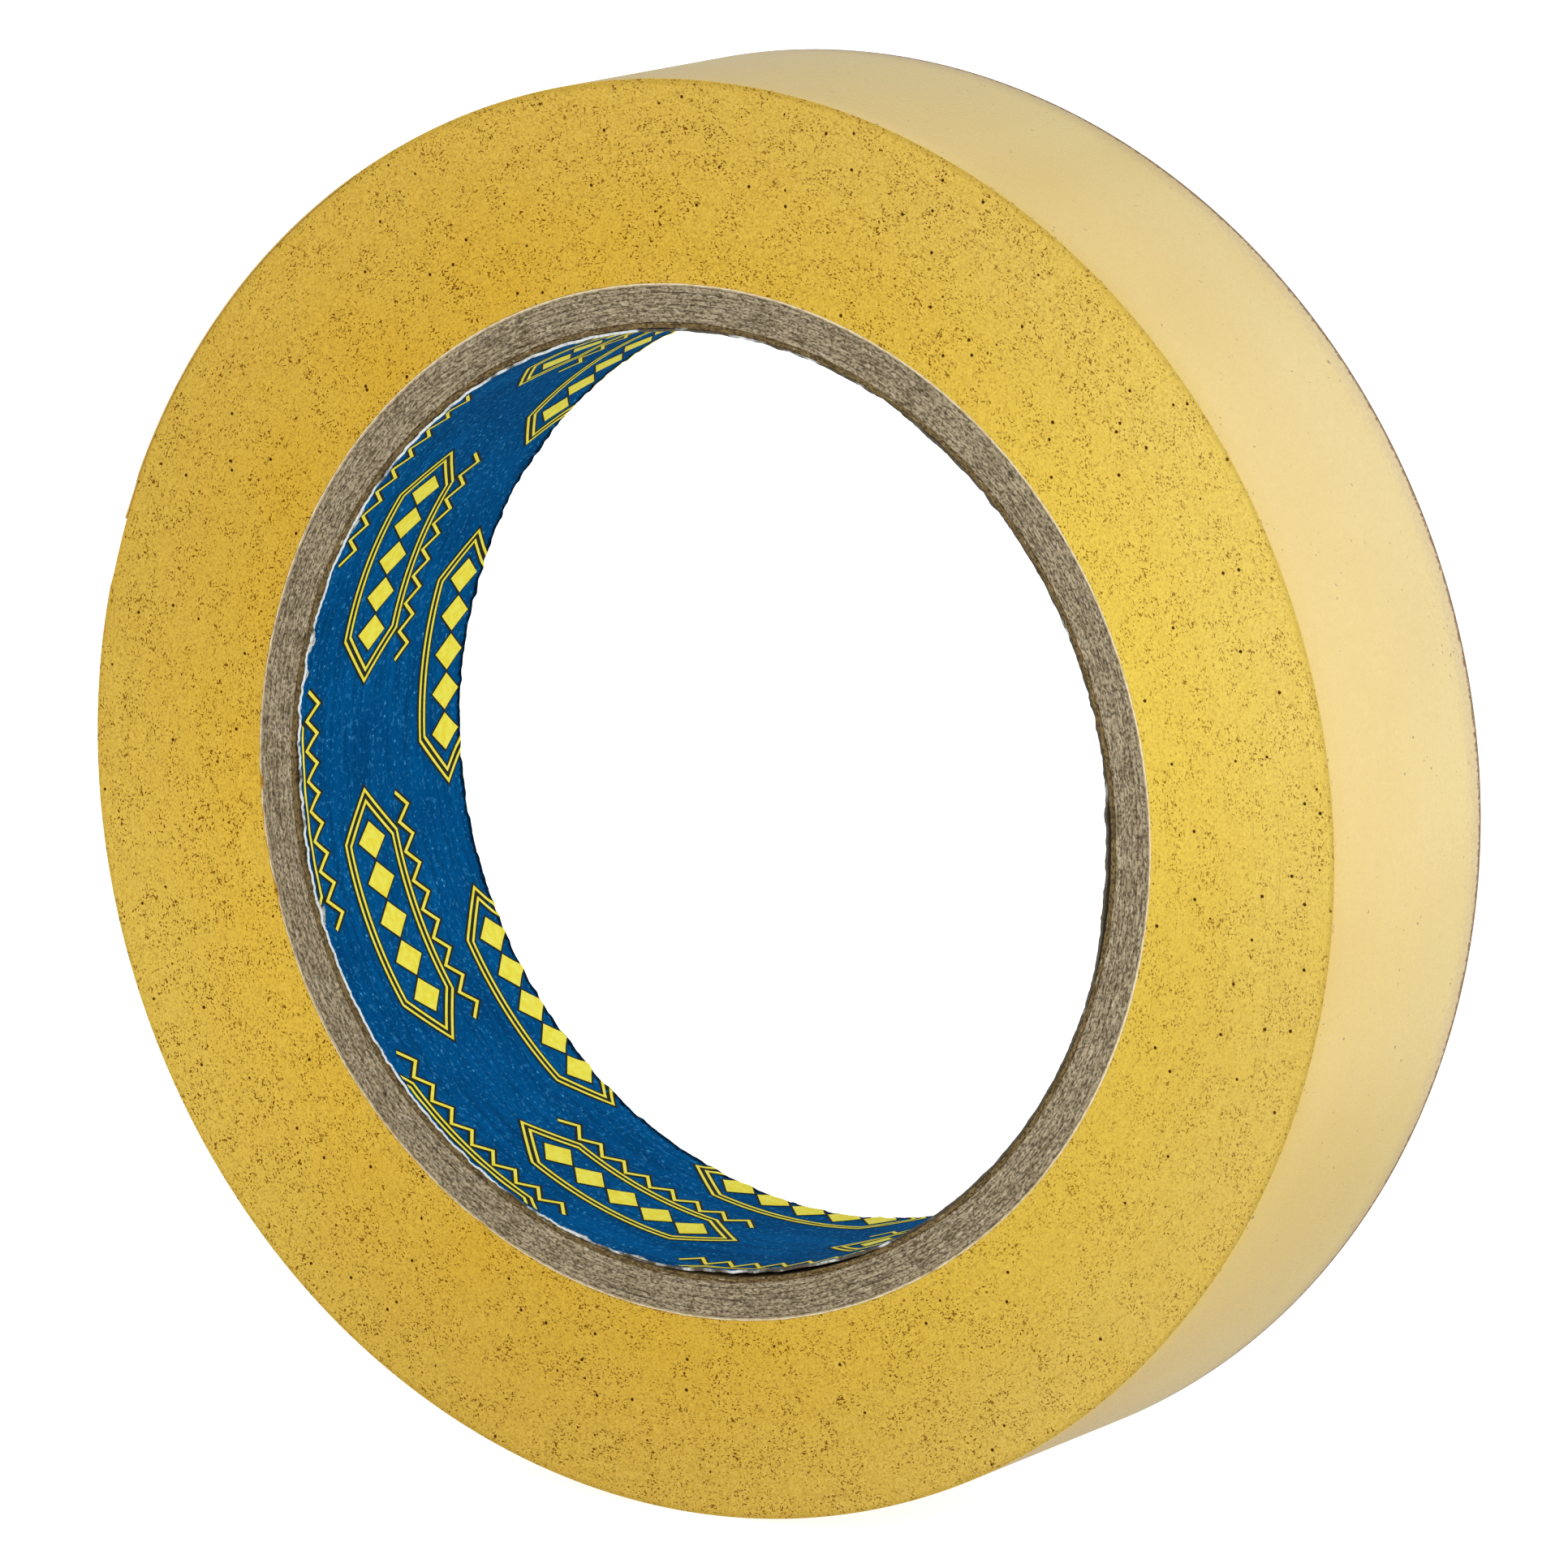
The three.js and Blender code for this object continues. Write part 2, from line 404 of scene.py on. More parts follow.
def board_material(name, light, dark, fleck):
    """Recycled paper board, cut through: short grey-brown fibres that run mostly round the core."""
    paint = Shader(name)
    layers = paint.streaks(1.1, 0.24, paint.radius, 3)
    fibres = paint.streaks(0.30, 0.19, paint.radius, 2)
    threads = paint.streaks(0.9, 0.15, paint.radius, 2)
    clouds = paint.noise(1.6, 3, 0.6)
    tone = paint.mix(paint.remap(layers, 0.34, 0.66), dark, light)
    tone = paint.shade(tone, clouds, 0.38, 0.66, 0.5, light)
    tone = paint.shade(tone, fibres, 0.42, 0.64, 0.8, fleck)
    tone = paint.shade(tone, threads, 0.64, 0.72, 0.7, colour(60, 50, 34))
    tone = paint.shade(tone, threads, 0.36, 0.28, 0.6, colour(232, 222, 200))
    relief = paint.math("SUBTRACT", paint.math("MULTIPLY", layers, 0.6), fibres)
    return paint.finish(
        Base_Color=tone,
        Roughness=0.93,
        Specular_IOR_Level=0.2,
        Normal=paint.bump(relief, 0.09),
    )


def outer_ply_material(board_tone):
    """The core's outermost ply: soiled board inside, with a skin of white paper against the tape."""
    paint = Shader("white_paper")
    fuzz = paint.streaks(0.5, 0.2, paint.radius, 3)
    white = paint.mix(paint.remap(fuzz, 0.4, 0.7), colour(250, 236, 200), colour(232, 206, 152))
    board = paint.mix(paint.remap(fuzz, 0.4, 0.65), board_tone, colour(150, 132, 100))
    tone = paint.mix(paint.remap(paint.radius, *WHITE_SKIN), board, white)
    return paint.finish(
        Base_Color=tone,
        Roughness=0.85,
        Specular_IOR_Level=0.25,
        Normal=paint.bump(fuzz, 0.05),
    )


def liner_edge_material():
    """The liner's cut edges: white paper under grey-brown painted shade, pale where fibres have torn
    out.
    """
    paint = Shader("liner_paper")
    fuzz = paint.noise(0.25, 3, 0.6)
    # Painted shade: the grey-brown is painted stronger towards +X and fainter towards -X.
    painted_shade_lean = paint.math("MULTIPLY", paint.across_x, -0.16)
    torn = paint.math("ADD", paint.noise(3.5, 4, 0.6), painted_shade_lean)
    tone = paint.mix(paint.remap(torn, 0.46, 0.60), colour(92, 84, 70), colour(236, 242, 240))
    tone = paint.shade(tone, fuzz, 0.52, 0.72, 0.5, colour(120, 132, 140))
    return paint.finish(
        Base_Color=tone,
        Roughness=0.85,
        Specular_IOR_Level=0.2,
        Normal=paint.bump(fuzz, 0.05),
    )


def liner_material():
    """The liner's printed face: blue ink on matt paper, with rubbed flecks and a torn front edge."""
    paint = Shader("liner_blue")
    clouds = paint.noise(7, 3, 0.5)
    tone = paint.mix(paint.remap(clouds, 0.3, 0.7), colour(0, 81, 139), colour(0, 94, 157))
    weave = paint.noise(0.4, 4, 0.65)
    tone = paint.shade(tone, weave, 0.4, 0.72, 0.45, colour(0, 55, 102))
    brushed = paint.streaks(7, 0.6, paint.along, 3)
    tone = paint.shade(tone, brushed, 0.42, 0.68, 0.5, colour(0, 55, 100))
    flecks = paint.remap(paint.noise(0.42, 2, 0.6), 0.57, 0.66)
    stars = paint.specks(0.75, 0.16, 0.5)
    rubs = paint.streaks(2.2, 0.5, paint.along, 3)
    tone = paint.stain(tone, flecks, 0.38, colour(60, 150, 210))
    tone = paint.stain(tone, stars, 0.6, colour(80, 180, 232))
    tone = paint.shade(tone, rubs, 0.64, 0.74, 0.3, colour(40, 118, 176))
    from_edge = paint.math("ADD", paint.along, HALF_WIDTH / MM)
    depth = paint.remap(paint.noise(4.5, 2, 0.5), 0.52, 0.70, 0.02, 0.75)
    fray = paint.math("SUBTRACT", paint.streaks(0.6, 0.3, paint.along, 3), 0.5)
    reach = paint.math("ADD", depth, paint.math("MULTIPLY", fray, 0.9))
    torn = paint.remap(paint.math("SUBTRACT", reach, from_edge), -0.03, 0.05)
    fibres = paint.mix(paint.remap(weave, 0.4, 0.65), colour(222, 220, 206), colour(140, 142, 136))
    tone = paint.mix(torn, tone, fibres)
    # Painted shade: the blue darkens to near-black along the ragged back edge.
    painted_back_shade = paint.math("ADD", paint.along, paint.math("MULTIPLY", weave, 1.2))
    tone = paint.shade(tone, painted_back_shade, 11.9, 12.3, 0.9, colour(2, 8, 18))
    return paint.finish(
        Base_Color=tone,
        Roughness=0.8,
        Specular_IOR_Level=0.01,
        Normal=paint.bump(weave, 0.02),
    )


def ink_material(name, light, shade):
    """Printed ink, slightly uneven."""
    paint = Shader(name)
    blotches = paint.noise(0.7, 3, 0.6)
    tone = paint.mix(paint.remap(blotches, 0.35, 0.7), light, shade)
    return paint.finish(
        Base_Color=tone,
        Roughness=paint.remap(blotches, 0.3, 0.7, 0.5, 0.65),
        Specular_IOR_Level=0.1,
        Normal=paint.bump(blotches, 0.006),
    )


def floor_material():
    """A white table that the camera sees as pale as the backdrop, apart from a faint contact shadow."""
    paint = Shader("studio_floor")
    grain = paint.noise(40, 2, 0.5)
    tone = paint.mix(paint.remap(grain, 0.3, 0.7), (0.80, 0.80, 0.80, 1), (0.82, 0.82, 0.82, 1))
    seen = paint.add("ShaderNodeLightPath").outputs["Is Camera Ray"]
    return paint.finish(
        Base_Color=tone,
        Roughness=0.9,
        Specular_IOR_Level=0.1,
        Emission_Color=(1, 1, 1, 1),
        Emission_Strength=paint.math("MULTIPLY_ADD", seen, FLOOR_GLOW, FLOOR_BOUNCE),
    )


TAPE_SIDE = tape_side_material()
TAPE_BACKING = tape_backing_material()
ADHESIVE = adhesive_material()
BOARD_TONE = colour(196, 180, 149)
BOARD = board_material("core_board", BOARD_TONE, colour(136, 120, 94), colour(74, 62, 42))
KRAFT = board_material("core_kraft", colour(142, 120, 78), colour(102, 83, 50), colour(58, 45, 26))
WHITE_PAPER = outer_ply_material(BOARD_TONE)
LINER_PAPER = liner_edge_material()
LINER_BLUE = liner_material()
YELLOW_INK = ink_material("print_yellow", colour(255, 246, 90), colour(250, 232, 58))
DARK_INK = ink_material("print_dark", colour(10, 14, 12), colour(24, 28, 14))


# The core.

def seam_angle(ply, along):
    """Where a ply's seam is at a distance along the roll."""
    return FIRST_SEAM + ply * SEAM_STAGGER + TAU * along / PLY_LEAD


def ply_angles(ply, columns, middle_radius, along):
    """The angle of every column of a ply's mesh: from one lip of its seam round to the other.

    Near the seam the columns follow its slant, and further round they run straight.
    """
    lip = SEAM_GAP / 2 / middle_radius
    turn = np.linspace(lip, TAU - lip, columns)[:, None]
    from_seam = np.minimum(turn, TAU - turn)
    slant = seam_angle(ply, along) - seam_angle(ply, 0)
    return seam_angle(ply, 0) + turn + slant * (1 - smoothstep(from_seam, 0, SEAM_SWAY))


def ply_loop(rows, rounding):
    """One ply's section: points as (share of the thickness, distance along).

    It starts in the middle of the front end face and runs by the bore surface to the back end face
    and home by the outer surface, so that point j and its partner from the end face each other.
    """
    end = [(0.36, 0.0), (0.1, 0.25 * rounding), (0.0, rounding)]  # (share, inset from the end)
    straight = np.linspace(-HALF_WIDTH + 2 * rounding, HALF_WIDTH - 2 * rounding, rows)
    half = [(share, -HALF_WIDTH + inset) for share, inset in end]
    half += [(0.0, along) for along in straight]
    half += [(share, HALF_WIDTH - inset) for share, inset in reversed(end)]
    mirrored = [(1 - share, along) for share, along in reversed(half)]
    return np.array(half + mirrored)


def end_relief(seed, angle, share):
    """How far a ply's end face stands back at each point: broad waves, torn fibres and a few nicks."""
    height = 0.035 * ripple(seed, angle, 3, 14)
    height += 0.022 * ripple(seed + 1, angle + 0.7 * share, 40, 160)
    height += 0.018 * ripple(seed + 2, angle + 2.1 * share, 150, 260)
    rng = np.random.default_rng(seed + 3)
    for _ in range(rng.integers(2, 5)):
        centre = rng.uniform(0, TAU)
        length = rng.uniform(0.008, 0.022)
        offset = (angle - centre + math.pi) % TAU - math.pi
        height += rng.uniform(0.15, 0.45) * np.exp(-((offset / length) ** 2)) * (0.3 + 0.7 * share)
    return height * MM


def add_ply(ply, name, material):
    """A board, kraft or white ply: an open tube with rough cut ends."""
    inner, outer = ring_radii(name)
    loop = ply_loop(PLY_ROWS, PLY_ROUNDING)
    share, along = loop[:, 0], loop[:, 1]
    angle = ply_angles(ply, PLY_COLUMNS, (inner + outer) / 2, along)
    is_end = np.abs(along) > HALF_WIDTH - PLY_END_DEPTH
    side = np.sign(along)
    relief = end_relief(100 * ply, angle + (side > 0), share) * is_end
    radius = inner + (outer - inner) * share
    loops = place(radius, angle, along - side * np.maximum(relief, -PLY_ROUNDING))
    slots = np.zeros(len(loop), int)
    piece = sweep(f"{name}_cut", loops, slots, [material], closed=False)
    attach(piece, "roll")
    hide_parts(name)


def liner_radius(angle, along):
    """The liner's bore surface: faint swells, a lifted front edge and a back edge with a burr."""
    front = smoothstep(-along, HALF_WIDTH - 1.2 * MM, HALF_WIDTH)
    swell = 0.02 * ripple(11, angle, 2, 9, along, 15 * MM)
    swell += 0.025 * ripple(17, angle, 40, 130) * front
    burr = np.abs(ripple(18, angle, 30, 110)) + 0.6 * np.clip(ripple(19, angle, 90, 240), 0, 2)
    swell -= 0.08 * burr * smoothstep(along, HALF_WIDTH - 1.0 * MM, HALF_WIDTH)
    lift = np.clip(ripple(12, angle, 2, 8) - 0.5, 0, 1.4)
    curl = smoothstep(-along, HALF_WIDTH - 2.4 * MM, HALF_WIDTH)
    return LINER_RADIUS + (swell - 0.22 * lift * curl) * MM


def liner_front_recess(angle):
    """How far the liner's torn front edge stands back from the core's end."""
    fray = 0.10 + 0.05 * ripple(13, angle, 30, 150) + 0.03 * ripple(14, angle, 200, 400)
    chips = 0.2 * np.clip(ripple(15, angle, 5, 22) - 1.0, 0, 1.2)
    return np.maximum(fray + chips, -0.05) * MM


def liner_back_recess(angle):
    """How far the liner's cut back edge stands back from the core's end."""
    return (0.05 + 0.03 * ripple(16, angle, 8, 60)) * MM


def add_liner():
    """The printed liner: blue on its bore surface and bare paper at its edges."""
    inner, outer = ring_radii("printed_liner")
    loop = ply_loop(PLY_ROWS, LINER_ROUNDING)
    share, along = loop[:, 0], loop[:, 1]
    angle = ply_angles(0, LINER_COLUMNS, inner, along)
    inside = HALF_WIDTH - LINER_EDGE_DEPTH
    front_pull = liner_front_recess(angle) * smoothstep(-along, inside, HALF_WIDTH)
    back_pull = liner_back_recess(angle) * smoothstep(along, inside, HALF_WIDTH)
    pulled = along + front_pull - back_pull
    bore = liner_radius(angle, pulled)
    thickness = outer - inner
    back = np.minimum(bore + thickness, outer)
    loops = place(bore + (back - bore) * share, angle, pulled)
    slots = np.zeros(len(loop), int)
    bore_edges = (share < 0.05) & (np.roll(share, -1) < 0.05)
    slots[bore_edges] = 1
    piece = sweep("liner_sheet", loops, slots, [LINER_PAPER, LINER_BLUE], closed=False)
    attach(piece, "roll")
    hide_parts("printed_liner")


# The liner's print: a long double hexagon round a row of diamonds with a zigzag beside it, repeated on a
# slanting lattice.

MOTIF_PITCH = math.radians(47)
MOTIF_ROW_SHIFT = math.radians(15.6)
MOTIF_ROW_PITCH = 12.5 * MM
MOTIF_FIRST_ANGLE = math.radians(202.3)
MOTIF_FIRST_ALONG = 9.6 * MM  # from the front edge
MOTIF_SLOPE = 0.024
MOTIF_ROWS = range(-2, 3)
MOTIF_STEPS = range(-6, 7)
MOTIF_HALF_HEIGHT = 8 * MM  # a motif whose middle is further than this past an edge doesn't show
SEAM_REACH = 1.0  # radians past the seam where a motif may still show
PRINT_FRONT_MARGIN = 0.34 * MM  # the front edge is torn, so the print stops this far behind it
PRINT_BACK_MARGIN = 0.16 * MM
PRINT_SEAM_MARGIN = 0.5 * MM
PRINT_STEP = 0.8 * MM
PRINT_SUNK = 0.06 * MM  # how far the print's underside is below the liner's surface
KEY_PROUD = 0.028 * MM
INK_PROUD = 0.045 * MM
PRINT_EDGE = 0.45 * MM  # the print's mesh edges are split until they are about this long
PRINT_SPLITS = 4  # at most this many times
KEY_GROWTH = 0.24 * MM
HEXAGON_TAPER = 1.067  # length of a hexagon's point, as a share of its half height
HEXAGON_SIZES = [(11 * MM, 3.75 * MM), (10.05 * MM, 3.1 * MM)]  # half length and half height
HEXAGON_HALF_LINE = 0.13 * MM
KEY_HEXAGON_SIZE = (10.53 * MM, 3.43 * MM)  # one broad line that both hexagons are printed on
KEY_HEXAGON_HALF_LINE = 0.66 * MM
DIAMOND_HALF_LENGTH = 1.55 * MM
DIAMOND_HALF_HEIGHT = 1.9 * MM
DIAMOND_PITCH = 3.4 * MM
ZIGZAG_CORNERS = 17
ZIGZAG_START = -10  # millimetres along the motif
ZIGZAG_PITCH = 1.25
ZIGZAG_MIDDLE = 5.15
ZIGZAG_SWING = 0.8
ZIGZAG_HALF_LINE = 0.15 * MM


def stroke(path, half_widths, closed=False):
    """A flat ribbon: left and right points beside each point of a path, mitred at its corners."""
    path = np.array(path, float)
    half_widths = np.broadcast_to(half_widths, len(path))
    if closed:
        before = np.roll(path, 1, axis=0)
        after = np.roll(path, -1, axis=0)
    else:
        before = np.vstack([2 * path[0] - path[1], path[:-1]])
        after = np.vstack([path[1:], 2 * path[-1] - path[-2]])
    arriving = path - before
    leaving = after - path
    arriving /= np.linalg.norm(arriving, axis=1)[:, None]
    leaving /= np.linalg.norm(leaving, axis=1)[:, None]
    bisector = arriving + leaving
    bisector /= np.linalg.norm(bisector, axis=1)[:, None]
    normal = np.stack([-bisector[:, 1], bisector[:, 0]], -1)
    stretch = 1 / np.maximum(np.abs(np.einsum("ij,ij->i", bisector, leaving)), 0.3)
    offset = normal * (half_widths * stretch)[:, None]
    return path + offset, path - offset, closed


def along_corners(corners, step, closed=False):
    """Points at most `step` apart along straight lines between corners."""
    corners = [np.array(corner, float) for corner in corners]
    ends = corners[1:] + corners[:1] if closed else corners[1:]
    points = []
    for start, end in zip(corners, ends):
        count = max(1, math.ceil(np.linalg.norm(end - start) / step))
        points += [start + (end - start) * i / count for i in range(count)]
    return points if closed else points + [corners[-1]]


def hexagon(half_length, half_height, half_width):
    """The outline of a long hexagon, flat at its top and bottom and pointed at its ends."""
    flat = half_length - HEXAGON_TAPER * half_height
    right = [(flat, -half_height), (half_length, 0), (flat, half_height)]
    corners = right + [(-x, -y) for x, y in right]
    return stroke(along_corners(corners, PRINT_STEP, closed=True), half_width, closed=True)


def diamond(middle, growth):
    """A solid diamond, as a ribbon that is widest halfway along."""
    shares = np.linspace(-1, 1, 9)
    path = [(middle + (DIAMOND_HALF_LENGTH + growth) * share, 0) for share in shares]
    half_widths = (DIAMOND_HALF_HEIGHT + growth) * (1 - np.abs(shares))
    return stroke(path, np.maximum(half_widths, 0.01 * MM))


def motif_ribbons(growth):
    """The ribbons of one motif about its middle. With growth they make the dark key under the ink."""
    if growth:
        ribbons = [hexagon(*KEY_HEXAGON_SIZE, KEY_HEXAGON_HALF_LINE)]
    else:
        ribbons = [hexagon(*size, HEXAGON_HALF_LINE) for size in HEXAGON_SIZES]
    ribbons += [diamond(i * DIAMOND_PITCH, growth) for i in range(-2, 3)]
    corners = []
    for i in range(ZIGZAG_CORNERS):
        swing = ZIGZAG_SWING if i % 2 else -ZIGZAG_SWING
        corners.append(((ZIGZAG_START + ZIGZAG_PITCH * i) * MM, (ZIGZAG_MIDDLE + swing) * MM))
    ribbons.append(stroke(along_corners(corners, PRINT_STEP), ZIGZAG_HALF_LINE + growth))
    return ribbons


def motif_places():
    """The middle of each motif as (distance round the bore, distance along), from seam to seam."""
    seam = seam_angle(0, 0)
    places = []
    for row in MOTIF_ROWS:
        for step in MOTIF_STEPS:
            angle = MOTIF_FIRST_ANGLE + step * MOTIF_PITCH + row * MOTIF_ROW_SHIFT
            turn = LINER_RADIUS * (angle - MOTIF_FIRST_ANGLE)
            along = -HALF_WIDTH + MOTIF_FIRST_ALONG + row * MOTIF_ROW_PITCH + MOTIF_SLOPE * turn
            near_liner = abs(along) < HALF_WIDTH + MOTIF_HALF_HEIGHT
            if near_liner and seam - SEAM_REACH < angle < seam + TAU + SEAM_REACH:
                places.append((LINER_RADIUS * angle, along))
    return places


def add_print(name, growth, proud, material):
    """The print as thin solids: laid out flat, cut at the liner's edges and seam, then wrapped."""
    mesh = bmesh.new()
    slope = math.atan(MOTIF_SLOPE)
    turn = np.array([[math.cos(slope), math.sin(slope)], [-math.sin(slope), math.cos(slope)]])
    for middle in motif_places():
        for left, right, closed in motif_ribbons(growth):
            add_ribbon(mesh, left @ turn + middle, right @ turn + middle, closed)
    cut_print(mesh)
    bmesh.ops.recalc_face_normals(mesh, faces=mesh.faces)
    refine_print(mesh)
    flat = np.array([vertex.co for vertex in mesh.verts])
    angle, along, height = flat[:, 0] / LINER_RADIUS, flat[:, 1], flat[:, 2]
    radius = liner_radius(angle, along) + PRINT_SUNK - height * (PRINT_SUNK + proud)
    for vertex, point in zip(mesh.verts, place(radius, angle, along)):
        vertex.co = point
    data = bpy.data.meshes.new(name)
    mesh.to_mesh(data)
    mesh.free()
    piece = finish_mesh(name, data, [material])
    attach(piece, "roll")


def add_ribbon(mesh, left, right, closed):
    """A ribbon as a flat slab: its underside at height 0 and its top at height 1."""
    rings = []
    for one, other in zip(left, right):
        corners = [(*one, 0), (*other, 0), (*other, 1), (*one, 1)]
        rings.append([mesh.verts.new(corner) for corner in corners])
    following = rings[1:] + rings[:1] if closed else rings[1:]
    for ring, after in zip(rings, following):
        for i in range(4):
            j = (i + 1) % 4
            mesh.faces.new((ring[i], ring[j], after[j], after[i]))
    if not closed:
        mesh.faces.new(rings[0][::-1])
        mesh.faces.new(rings[-1])


def cut_print(mesh):
    """Trims the flat print at the liner's front and back edges and at both lips of its seam."""
    seam = Vector((LINER_RADIUS * seam_angle(0, 0), 0, 0))
    across_seam = Vector((1, -LINER_RADIUS * TAU / PLY_LEAD, 0)).normalized()
    turn = Vector((LINER_RADIUS * TAU, 0, 0))
    margin = across_seam * PRINT_SEAM_MARGIN
    planes = [
        (Vector((0, -HALF_WIDTH + PRINT_FRONT_MARGIN, 0)), Vector((0, -1, 0))),
        (Vector((0, HALF_WIDTH - PRINT_BACK_MARGIN, 0)), Vector((0, 1, 0))),
        (seam + margin, -across_seam),
        (seam + turn - margin, across_seam),
    ]
    for point, outward in planes:
        parts = mesh.verts[:] + mesh.edges[:] + mesh.faces[:]
        plane = {"plane_co": point, "plane_no": outward}
        cut = bmesh.ops.bisect_plane(mesh, geom=parts, clear_outer=True, **plane)
        edges = [part for part in cut["geom_cut"] if isinstance(part, bmesh.types.BMEdge)]
        bmesh.ops.edgeloop_fill(mesh, edges=edges)


def refine_print(mesh):
    """Splits the flat print's long edges, so that it follows every ripple of the liner."""
    for _ in range(PRINT_SPLITS):
        bmesh.ops.triangulate(mesh, faces=mesh.faces)
        long_edges = []
        for edge in mesh.edges:
            start, end = (vertex.co for vertex in edge.verts)
            if math.hypot(end.x - start.x, end.y - start.y) > PRINT_EDGE:
                long_edges.append(edge)
        bmesh.ops.subdivide_edges(mesh, edges=long_edges, cuts=1)
    bmesh.ops.triangulate(mesh, faces=mesh.faces)


# The tape.

def turn_radius(back):
    """The outer turn's surface at an angle `back` from the tip. Each turn back lies one tape lower."""
    return ROLL_RADIUS - TAPE_THICKNESS * back / TAU


def dent(angle):
    """How far the roll is pressed in beside the tip: a shallow flat, a few degrees wide."""
    degrees = np.degrees(angle - TIP_ANGLE)
    degrees = (degrees + 180) % 360 - 180
    return DENT_DEPTH * smoothstep(degrees, *DENT_START) * (1 - smoothstep(degrees, *DENT_END))


def tip_lift(angle):
    """How far the very end of the strip stands up off the roll."""
    return TIP_LIFT * smoothstep(np.degrees(angle - TIP_ANGLE), -TIP_LIFT_DEGREES, 0)


def side_relief(angle, radius):
    """How far the slit side stands back: turns that crept sideways in bands, and slow waves."""
    depth = 0.018 * ripple(31, radius * TAU / (5 * MM), 1, 6)
    depth += 0.006 * ripple(32, radius * TAU / (5 * MM), 6, 12)
    depth += 0.012 * ripple(33, angle, 1, 5, radius, 8 * MM)
    depth += 0.004 * ripple(34, angle, 8, 60, radius, 3 * MM)
    return depth * MM


def add_wound_tape():
    """The wound tape: its spiral outer turn steps down where the free end lies on it."""
    bore = ring_radii("wound_tape")[0]
    back = np.linspace(0, TAU, TAPE_COLUMNS, endpoint=False)
    free = TIP_ANGLE - HINGE_ANGLES[0]
    hair = 0.0001
    back = np.sort(np.append(back[1:], [hair, free - hair, free + hair, TAU - hair]))[:, None]
    angle = TIP_ANGLE - back
    step_down = np.where(back < free, TAPE_THICKNESS + UNDER_TAPE_GAP, 0)
    outside = turn_radius(back) - step_down - dent(angle)
    edge = TAPE_EDGE_RADIUS
    # The rounded edge's points, as (drop from the rim, inset from the side).
    corner = [(edge * 0.4, edge * 0.12), (edge * 0.12, edge * 0.4), (0.0, edge)]
    across = np.linspace(0, 1, SIDE_ROWS)
    sides = []
    for side in (-1, 1):
        radius = bore + (outside - edge - bore) * across
        depth = side_relief(angle + 2 * (side > 0), radius)
        sides.append(place(radius, angle, side * (HALF_WIDTH - np.maximum(depth, -MOST_PROUD))))
    rim = []
    for drop, inset in corner:
        rim.append(place(outside - drop, angle, -HALF_WIDTH + inset))
    for along in np.linspace(-HALF_WIDTH, HALF_WIDTH, RIM_ROWS + 2)[1:-1]:
        rim.append(place(outside, angle, along))
    for drop, inset in reversed(corner):
        rim.append(place(outside - drop, angle, HALF_WIDTH - inset))
    loops = np.concatenate([sides[0], np.concatenate(rim, axis=1), sides[1][:, ::-1]], axis=1)
    slots = np.zeros(loops.shape[1], int)
    slots[SIDE_ROWS : SIDE_ROWS + len(rim)] = 1
    piece = sweep("wound_turns", loops, slots, [TAPE_SIDE, TAPE_BACKING], closed=True)
    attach(piece, "roll")
    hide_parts("wound_tape")


def end_loop():
    """The free end's section as (share of the thickness, distance along), from the front edge on."""
    rounding = FREE_EDGE_ROUNDING
    straight = np.linspace(-HALF_WIDTH + rounding, HALF_WIDTH - rounding, FREE_END_ROWS)
    half = [(0.3, -HALF_WIDTH)]
    half += [(0.0, along) for along in straight]
    half += [(0.3, HALF_WIDTH)]
    mirrored = [(1 - share, along) for share, along in reversed(half)]
    return np.array(half + mirrored)


def add_free_end():
    """The free end in pieces that meet midway between hinges. Only the tip piece is attached to a body,
    end_5; the others are left unattached.
    """
    loop = end_loop()
    share, along = loop[:, 0], loop[:, 1]
    under = (share < 0.5) & (np.roll(share, -1) < 0.5)
    top = (share > 0.5) & (np.roll(share, -1) > 0.5)
    slots = np.where(under, 1, np.where(top, 0, 2))
    cuts = [HINGE_ANGLES[0], *(angle + END_SEGMENT / 2 for angle in HINGE_ANGLES), TIP_ANGLE]
    bodies = ["roll", *(f"end_{i}" for i in range(1, 6))]
    tip = len(bodies) - 1
    for i, (start, end) in enumerate(zip(cuts, cuts[1:])):
        columns = max(2, round((end - start) / END_COLUMN_ANGLE) + 1)
        angle = np.linspace(start, end, columns)[:, None]
        outside = turn_radius(TIP_ANGLE - angle) - dent(angle) + tip_lift(angle)
        radius = outside - TAPE_THICKNESS * (1 - share)
        loops = place(radius, angle, along)
        name = "free_end_tip" if i == tip else f"free_end_{i + 1}"
        piece = sweep(name, loops, slots, [TAPE_BACKING, ADHESIVE, TAPE_SIDE], closed=False)
        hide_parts(f"tape_end_{min(i + 1, tip)}")
        if i == tip:
            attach(piece, bodies[tip])
        else:
            first = place(turn_radius(TIP_ANGLE - start), start, 0.0).tolist()
            last = place(turn_radius(TIP_ANGLE - end), end, 0.0).tolist()
            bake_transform(piece)


# The studio.

def add_floor():
    """The table that the roll stands on. It doesn't show in the roll's gloss."""
    size = 3.0
    z = -ROLL_RADIUS
    corners = [(-size, -size, z), (size, -size, z), (size, size, z), (-size, size, z)]
    mesh = bpy.data.meshes.new("studio_floor")
    mesh.from_pydata(corners, [], [(0, 1, 2, 3)])
    points = np.array(corners, np.float32).ravel()
    mesh.attributes.new("rest", "FLOAT_VECTOR", "POINT").data.foreach_set("vector", points)
    mesh.materials.append(floor_material())
    floor = bpy.data.objects.new("studio_floor", mesh)
    floor.visible_glossy = False
    bpy.context.scene.collection.objects.link(floor)


